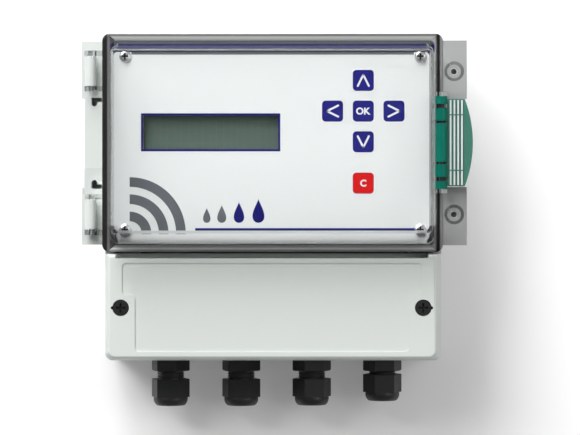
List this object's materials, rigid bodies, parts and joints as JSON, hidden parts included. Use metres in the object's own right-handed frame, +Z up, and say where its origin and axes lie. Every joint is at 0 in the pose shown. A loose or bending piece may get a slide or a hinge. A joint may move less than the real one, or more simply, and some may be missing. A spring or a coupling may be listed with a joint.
{
  "type": "leak detection controller",
  "caption": "Wall-mounted leak detection controller: grey housing with a hinged clear lid and green latch over a keypad and display, a screwed terminal cover and black cable glands.",
  "frame": {"origin": "middle of the housing's flat back face, on the wall", "axes": "+X to the right as seen from the front, +Y into the wall, +Z up; the front faces -Y"},
  "size_m": [0.261, 0.104, 0.2511],
  "materials": {
    "housing_grey": "fine moulded grain, light grey",
    "lid_clear": "clear polycarbonate, leaning walls lightly frosted",
    "latch_green": "blue green moulding, satin",
    "seal_rubber": "black rubber",
    "panel_white": "white panel with a satin printed film",
    "key_blue": "blue printed key pad, satin",
    "key_red": "red printed key pad, satin",
    "switch_black": "black moulding",
    "board_green": "green lacquered board",
    "display_glass": "grey green display, unlit",
    "display_frame": "black lacquered pressed frame",
    "screw_steel": "zinc plated steel",
    "screw_black": "black plastic screw",
    "gland_black": "black polyamide, fine texture",
    "terminal_green": "green terminal moulding",
    "relay_blue": "relay case",
    "core_steel": "varnished transformer",
    "ribbon_grey": "flat grey ribbon cable",
    "fuse_ceramic": "fuse body"
  },
  "bodies": {
    "housing": {"alarm_buzzer": "switch_black", "alarm_relays": "relay_blue", "base_housing": "housing_grey", "board_screws": "screw_steel", "board_spacers": "screw_steel", "control_board": "board_green", "cover_gasket": "seal_rubber", "cover_screws": "screw_black", "display_backlight": "panel_white", "display_bezel": "display_frame", "display_board": "board_green", "display_glass": "display_glass", "display_header": "switch_black", "front_panel": "panel_white", "gland_body_1": "gland_black", "gland_body_2": "gland_black", "gland_body_3": "gland_black", "gland_body_4": "gland_black", "gland_insert_1": "seal_rubber", "gland_insert_2": "seal_rubber", "gland_insert_3": "seal_rubber", "gland_insert_4": "seal_rubber", "gland_locknuts": "gland_black", "gland_nut_1": "gland_black", "gland_nut_2": "gland_black", "gland_nut_3": "gland_black", "gland_nut_4": "gland_black", "gland_washers": "seal_rubber", "key_switches": "switch_black", "lid_gasket": "seal_rubber", "mains_fuse": "fuse_ceramic", "panel_overlay": "panel_white", "panel_screws": "screw_steel", "power_board": "board_green", "power_board_screws": "screw_steel", "ribbon_cable": "ribbon_grey", "ribbon_headers": "switch_black", "smoothing_capacitor": "switch_black", "terminal_blocks": "terminal_green", "terminal_cover": "housing_grey", "terminal_screws": "screw_steel", "transformer": "core_steel"},
    "lid": {"lid": "lid_clear", "hinge_pins": "screw_steel", "latch_pin": "screw_steel"},
    "latch": {"latch_lever": "latch_green"},
    "key_up": {"key_up": "key_blue", "plunger_up": "switch_black"},
    "key_ok": {"key_ok": "key_blue", "plunger_ok": "switch_black"},
    "key_down": {"key_down": "key_blue", "plunger_down": "switch_black"},
    "key_left": {"key_left": "key_blue", "plunger_left": "switch_black"},
    "key_right": {"key_right": "key_blue", "plunger_right": "switch_black"},
    "key_clear": {"key_clear": "key_red", "plunger_clear": "switch_black"}
  },
  "joints": [
    {"name": "lid_hinge", "type": "hinge", "parent": "housing", "child": "lid", "pos_m": [-0.1216, -0.062, 0.0368], "axis": [0, 0, -1], "range_deg": [0, 140]},
    {"name": "latch_hinge", "type": "hinge", "parent": "lid", "child": "latch", "pos_m": [0.112, -0.0714, 0.0368], "axis": [0, 0, -1], "range_deg": [0, 80]},
    {"name": "key_up_press", "type": "slide", "parent": "housing", "child": "key_up", "axis": [0, 1, 0], "range_m": [0, 0.0004], "stiffness_N_per_m": 600},
    {"name": "key_ok_press", "type": "slide", "parent": "housing", "child": "key_ok", "axis": [0, 1, 0], "range_m": [0, 0.0004], "stiffness_N_per_m": 600},
    {"name": "key_down_press", "type": "slide", "parent": "housing", "child": "key_down", "axis": [0, 1, 0], "range_m": [0, 0.0004], "stiffness_N_per_m": 600},
    {"name": "key_left_press", "type": "slide", "parent": "housing", "child": "key_left", "axis": [0, 1, 0], "range_m": [0, 0.0004], "stiffness_N_per_m": 600},
    {"name": "key_right_press", "type": "slide", "parent": "housing", "child": "key_right", "axis": [0, 1, 0], "range_m": [0, 0.0004], "stiffness_N_per_m": 600},
    {"name": "key_clear_press", "type": "slide", "parent": "housing", "child": "key_clear", "axis": [0, 1, 0], "range_m": [0, 0.0004], "stiffness_N_per_m": 600}
  ]
}
